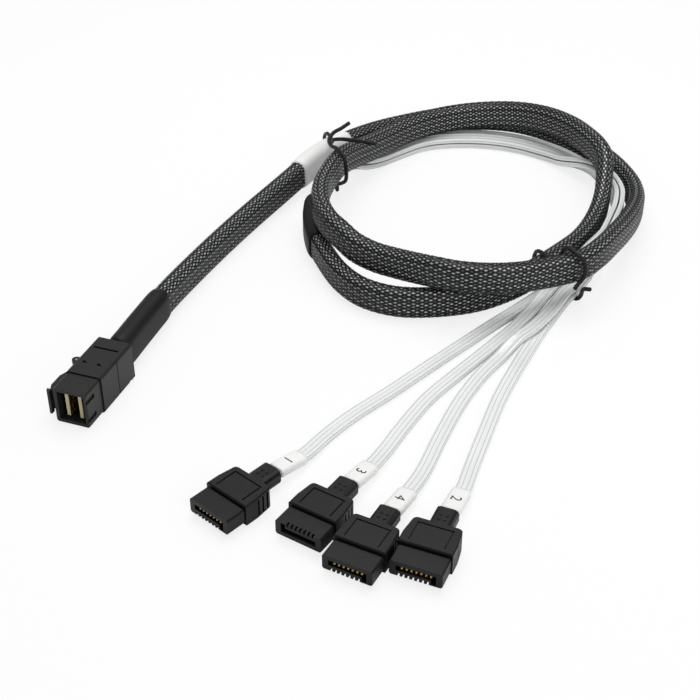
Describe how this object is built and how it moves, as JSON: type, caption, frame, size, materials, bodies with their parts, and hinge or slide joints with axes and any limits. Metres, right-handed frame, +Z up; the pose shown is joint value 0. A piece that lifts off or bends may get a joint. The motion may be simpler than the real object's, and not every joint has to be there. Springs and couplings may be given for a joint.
{
  "type": "breakout cable",
  "caption": "Black two-card plug on a braided trunk cable, laid in a tied coil, with flat silver-white cables fanning out to black seven-contact plugs.",
  "frame": {"origin": "middle of the two-card plug's underside, on the surface that the cable lies on", "axes": "+Z up; -Y is the way the two-card plug's mating face looks; the coil lies towards +X and +Y"},
  "size_m": [0.141, 0.2634, 0.0261],
  "materials": {
    "plug_plastic": "fine satin moulding, glass-filled, crisp edges",
    "insert_plastic": "matte moulding inside the plug",
    "overmould": "satin soft overmoulding with a fine texture",
    "card_laminate": "bare laminate edge of a circuit card",
    "pin_steel": "drawn wire pin",
    "contact_plating": "gold flash over a stamped spring",
    "braid": "open braid of dark polyester monofilament, slightly glossy strands",
    "heat_shrink": "thin heat-shrink tube, soft sheen",
    "label_film": "white printed film sleeve",
    "cable_film": "clear film over silver-white foil, two lobes and a waist",
    "tie_coating": "black plastic over soft wire"
  },
  "bodies": {
    "root": {"braided_sleeve": "braid", "breakout_heat_shrink": "heat_shrink", "card_holder": "insert_plastic", "flat_cable_1": "cable_film", "flat_cable_2": "cable_film", "flat_cable_3": "cable_film", "flat_cable_4": "cable_film", "latch_pin": "pin_steel", "paddle_card_left": "card_laminate", "paddle_card_right": "card_laminate", "plug_1_contact_1": "contact_plating", "plug_1_contact_2": "contact_plating", "plug_1_contact_3": "contact_plating", "plug_1_contact_4": "contact_plating", "plug_1_contact_5": "contact_plating", "plug_1_contact_6": "contact_plating", "plug_1_contact_7": "contact_plating", "plug_1_grip": "overmould", "plug_1_head": "overmould", "plug_1_tag": "label_film", "plug_2_contact_1": "contact_plating", "plug_2_contact_2": "contact_plating", "plug_2_contact_3": "contact_plating", "plug_2_contact_4": "contact_plating", "plug_2_contact_5": "contact_plating", "plug_2_contact_6": "contact_plating", "plug_2_contact_7": "contact_plating", "plug_2_grip": "overmould", "plug_2_head": "overmould", "plug_2_tag": "label_film", "plug_3_contact_1": "contact_plating", "plug_3_contact_2": "contact_plating", "plug_3_contact_3": "contact_plating", "plug_3_contact_4": "contact_plating", "plug_3_contact_5": "contact_plating", "plug_3_contact_6": "contact_plating", "plug_3_contact_7": "contact_plating", "plug_3_grip": "overmould", "plug_3_head": "overmould", "plug_3_tag": "label_film", "plug_4_contact_1": "contact_plating", "plug_4_contact_2": "contact_plating", "plug_4_contact_3": "contact_plating", "plug_4_contact_4": "contact_plating", "plug_4_contact_5": "contact_plating", "plug_4_contact_6": "contact_plating", "plug_4_contact_7": "contact_plating", "plug_4_grip": "overmould", "plug_4_head": "overmould", "plug_4_tag": "label_film", "plug_heat_shrink": "heat_shrink", "plug_nose": "plug_plastic", "plug_rear_cover": "plug_plastic", "tie_near_fan_out": "tie_coating", "tie_near_label": "tie_coating", "trunk_label": "label_film"},
    "latch": {"latch_lever": "plug_plastic"}
  },
  "joints": [
    {"name": "latch_pivot", "type": "hinge", "parent": "root", "child": "latch", "pos_m": [-0.0071, 0.003, 0.0062], "axis": [0, 0, 1], "range_deg": [0, 4], "stiffness_Nm_per_rad": 0.02}
  ]
}
